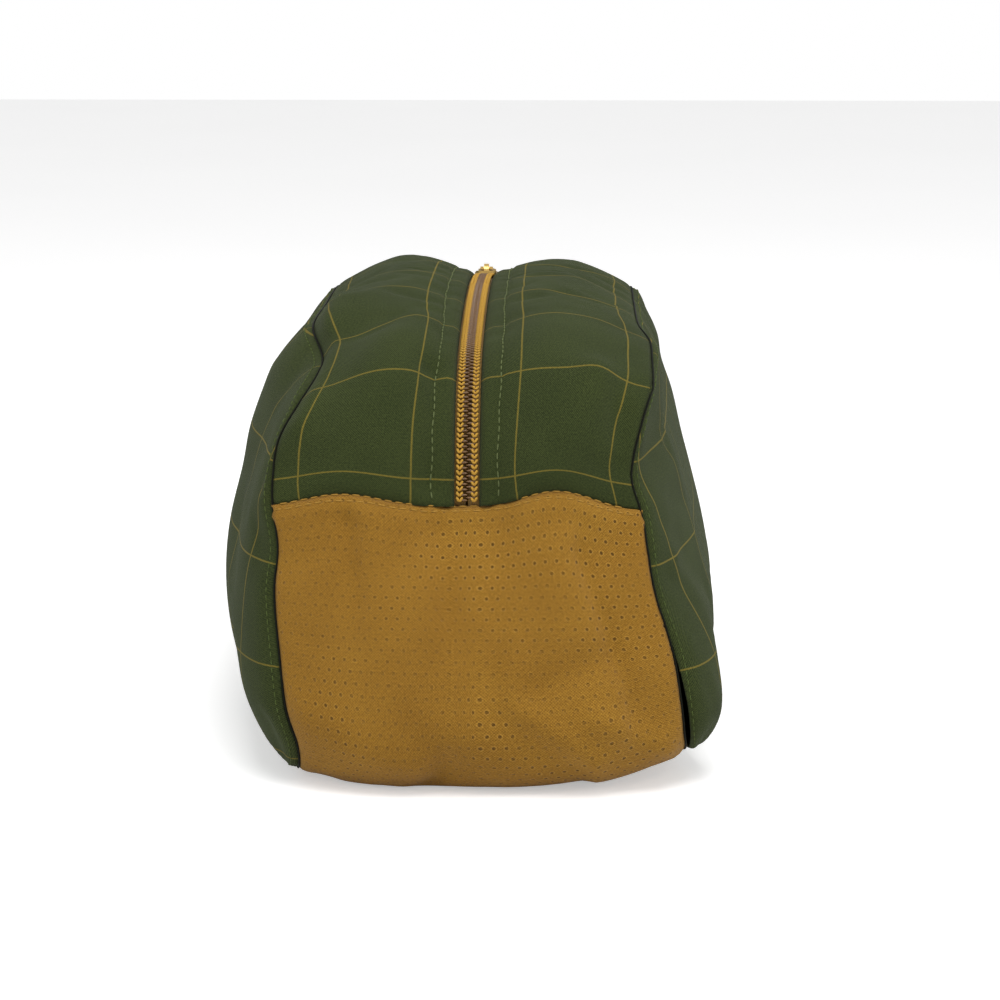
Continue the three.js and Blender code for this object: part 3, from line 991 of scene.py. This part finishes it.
for side, name in ((-1, "left"), (1, "right")):
    for end, sign in (("front", -1), ("rear", 1)):
        count = int(ZIP_HALF / 0.004)
        strip = bmesh.new()
        bmesh.ops.create_grid(strip, x_segments=3, y_segments=count, size=0.5)
        for vert in strip.verts:
            u = vert.co.x + 0.5
            along = (vert.co.y + 0.5) * (ZIP_HALF - 0.0004) * sign
            across = side * (0.0004 + u * TAPE_HALF)
            vert.co = on_zip(along, across, -0.0016)
        bmesh.ops.recalc_face_normals(strip, faces=strip.faces)
        bmesh.ops.solidify(strip, geom=strip.faces[:], thickness=0.0005)
        bmesh.ops.recalc_face_normals(strip, faces=strip.faces)
        tape = link_mesh(f"tape_{name}_{end}", strip, tape_finish)

        beads = []
        locks = []
        steps = int(ZIP_HALF / CHAIN_PITCH)
        for step in range(steps):
            at = (step + 0.5) * CHAIN_PITCH
            top = on_zip(at * sign, 0, 1.0) - on_zip(at * sign, 0, 0.0)
            inner = HEAD_HALF
            mid = (CHAIN_HALF + inner) / 2
            for edge in (inner + 0.0001, CHAIN_HALF - 0.0001):
                tip = on_zip((at + 0.0011) * sign, side * mid, 0.0004)
                tail = on_zip((at - 0.0007) * sign, side * edge, 0.0002)
                beads.append((tail, tip, top, 0.00105, 0.0011))
            heel = on_zip(at * sign, side * 0.0036, -0.0006)
            head = on_zip(at * sign, -side * 0.0004, 0.0001)
            offset = on_zip((at + (0.0005 if side < 0 else -0.0005)) * sign, 0, 0) - on_zip(at * sign, 0, 0)
            locks.append((heel + offset, head + offset, top, 0.0010, 0.0018))
        stitches = lay_beads(f"zip_thread_{name}_{end}", beads, gold_thread)
        coil_piece = lay_beads(f"coil_{name}_{end}", locks, nylon)
        for piece in (tape, stitches, coil_piece):
            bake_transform(piece)
        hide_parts(f"zip_tape_{name}_{end}", f"zip_tape_{name}_crown")
        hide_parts(f"zip_coil_{name}_{end}", f"zip_coil_{name}_crown")


# ---- Slider and pull ----
# A plated die-cast slider, parked behind the crown with the zip shut, and its loose pull.

def zip_metal():
    made = Finish("zip_metal")
    where = made.place()
    wear = made.noise(420.0, 4.0, where)
    scratch = made.noise(90.0, 6.0, where)
    color = made.mix(0.25 + 0.6 * wear, paint(150, 118, 60), paint(214, 182, 112))
    roughness = 0.26 + 0.22 * scratch
    return made.finish(color, roughness, wear, 0.00003, Metallic=1.0)


plated = zip_metal()
for node in ("slider_body", "pull_tab"):
    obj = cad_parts[node]
    for slot in obj.material_slots:
        slot.material = plated
    if not obj.material_slots:
        obj.data.materials.append(plated)


# ---- Sewing ----
# Topstitches in pale green thread along the plackets and the side seams, gold thread across the hems,
# and a near-black tube sunk in each side seam, painted shade where the cloth turns in.

def surface_tree(mesh):
    return BVHTree.FromPolygons([vert.co for vert in mesh.vertices], [p.vertices[:] for p in mesh.polygons])


def walk(points, pitch):
    """Points spaced evenly by pitch along a polyline."""
    lengths = np.concatenate([[0], np.cumsum([(b - a).length for a, b in zip(points, points[1:])])])
    marks = np.arange(0, lengths[-1], pitch)
    coords = np.array([p[:] for p in points])
    return [Vector([np.interp(mark, lengths, coords[:, k]) for k in range(3)]) for mark in marks]


def sew(name, trees, line, pitch, stitch, thickness, material, lift=0.00015):
    """A run of stitches laid on a surface along a line."""
    beads = []
    marks = walk(line, pitch)
    for here, ahead in zip(marks, marks[1:]):
        ends = []
        for share in (0.0, stitch / pitch):
            wanted = here.lerp(ahead, share)
            found = [tree.find_nearest(wanted) for tree in trees]
            spot, normal, _, _ = min(found, key=lambda hit: hit[3])
            ends.append((spot, normal))
        (start, normal), (finish, _) = ends
        if (finish - start).length < stitch * 0.3:
            continue
        raised = normal * lift
        beads.append((start + raised, finish + raised, normal, thickness, thickness))
    return lay_beads(name, beads, material)


def cut_points(mesh):
    """A sheet's points, with the place of each on its flat cut."""
    flat = np.zeros((len(mesh.vertices), 2))
    for loop, uv in zip(mesh.loops, mesh.uv_layers["flat"].data):
        flat[loop.vertex_index] = uv.uv
    return flat, np.array([vert.co[:] for vert in mesh.vertices])


def cut_line(sheet, places):
    """Points of a sheet at the given places on its flat cut."""
    flat, points = sheet
    line = []
    for place in places:
        off = ((flat - place) ** 2).sum(1)
        near = np.argpartition(off, 4)[:4]
        weight = 1 / (off[near] + 1e-9)
        line.append(Vector((points[near] * weight[:, None]).sum(0) / weight.sum()))
    return line


pale_thread = thread("pale_thread", paint(64, 74, 40), paint(112, 120, 80))
deep_thread = thread("deep_thread", paint(50, 62, 28), paint(92, 104, 56))
hem_thread = thread("hem_thread", paint(128, 92, 28), paint(184, 144, 70))
# Near-black painted shade for the side seams, not a thread of the bag.
painted_seam_shade = thread("painted_seam_shade", paint(6, 7, 3), paint(16, 18, 8))

for side, name in ((-1, "left"), (1, "right")):
    tree = surface_tree(top_surfaces[name])
    sheet = cut_points(top_surfaces[name])
    for end, low, high in (("front", 0.003, ZIP_HALF), ("rear", ZIP_HALF, 2 * ZIP_HALF - 0.003)):
        across = side * (ZIP_EDGE + PLACKET_STITCH)
        line = cut_line(sheet, [(across, along) for along in np.linspace(low, high, 90)])
        run = sew(f"placket_stitch_{name}_{end}", [tree], line, 0.0034, 0.0025, 0.0006, pale_thread)
        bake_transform(run)

mesh_tree = surface_tree(mesh_surface)
mesh_sheet = cut_points(mesh_surface)
for end, along in (("front", -0.0020), ("rear", 2 * ZIP_HALF + 0.0020)):
    flat_rows = cut_line(mesh_sheet, [(across, along) for across in np.linspace(-0.069, 0.069, 80)])
    run = sew(f"hem_stitch_{end}", [mesh_tree], flat_rows, 0.0040, 0.0029, 0.0006, hem_thread)
    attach(run, "bag")

for side, name in ((-1, "left"), (1, "right")):
    loop = [seam_at(side, row) for row in range(ROW_COUNT)]
    loop.append(loop[0])
    inset = []
    for row in range(ROW_COUNT):
        before, here, after = seam_at(side, row - 1), seam_at(side, row), seam_at(side, row + 1)
        inward = (after - before).cross(Vector((side, 0, 0))).normalized()
        centre = Vector((here.x, 0, 0.085))
        inward = inward if inward.dot(centre - here) > 0 else -inward
        inset.append(here + inward * 0.0016 + Vector((side * 0.003, 0, 0)))
    inset.append(inset[0])
    tree = surface_tree(side_pieces[name].data)
    run = sew(f"side_stitch_{name}", [tree], inset, 0.0030, 0.0021, 0.00045, deep_thread)
    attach(run, "bag")
    # A thin near-black tube sunk just inside each side seam: painted shade where the cloth turns in.
    seam = bpy.data.curves.new(f"seam_shade_line_{name}", "CURVE")
    seam.dimensions = "3D"
    seam.bevel_depth = 0.00036
    seam.bevel_resolution = 2
    spline = seam.splines.new("POLY")
    spline.points.add(ROW_COUNT - 1)
    spline.use_cyclic_u = True
    for row, point in enumerate(spline.points):
        spot = seam_at(side, row)
        spot -= skin_normals[seam_points.find(spot)[1]] * 0.0009
        point.co = (spot.x, spot.y, spot.z, 1)
    seam_shade_piece = bpy.data.objects.new(f"seam_shade_line_{name}", seam)
    bpy.context.scene.collection.objects.link(seam_shade_piece)
    tube = bpy.data.meshes.new_from_object(seam_shade_piece.evaluated_get(bpy.context.evaluated_depsgraph_get()))
    bpy.data.objects.remove(seam_shade_piece)
    seam_shade_piece = bpy.data.objects.new(f"seam_shade_line_{name}", tube)
    bpy.context.scene.collection.objects.link(seam_shade_piece)
    tube.materials.append(painted_seam_shade)
    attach(seam_shade_piece, "bag")

bpy.data.objects.remove(body)
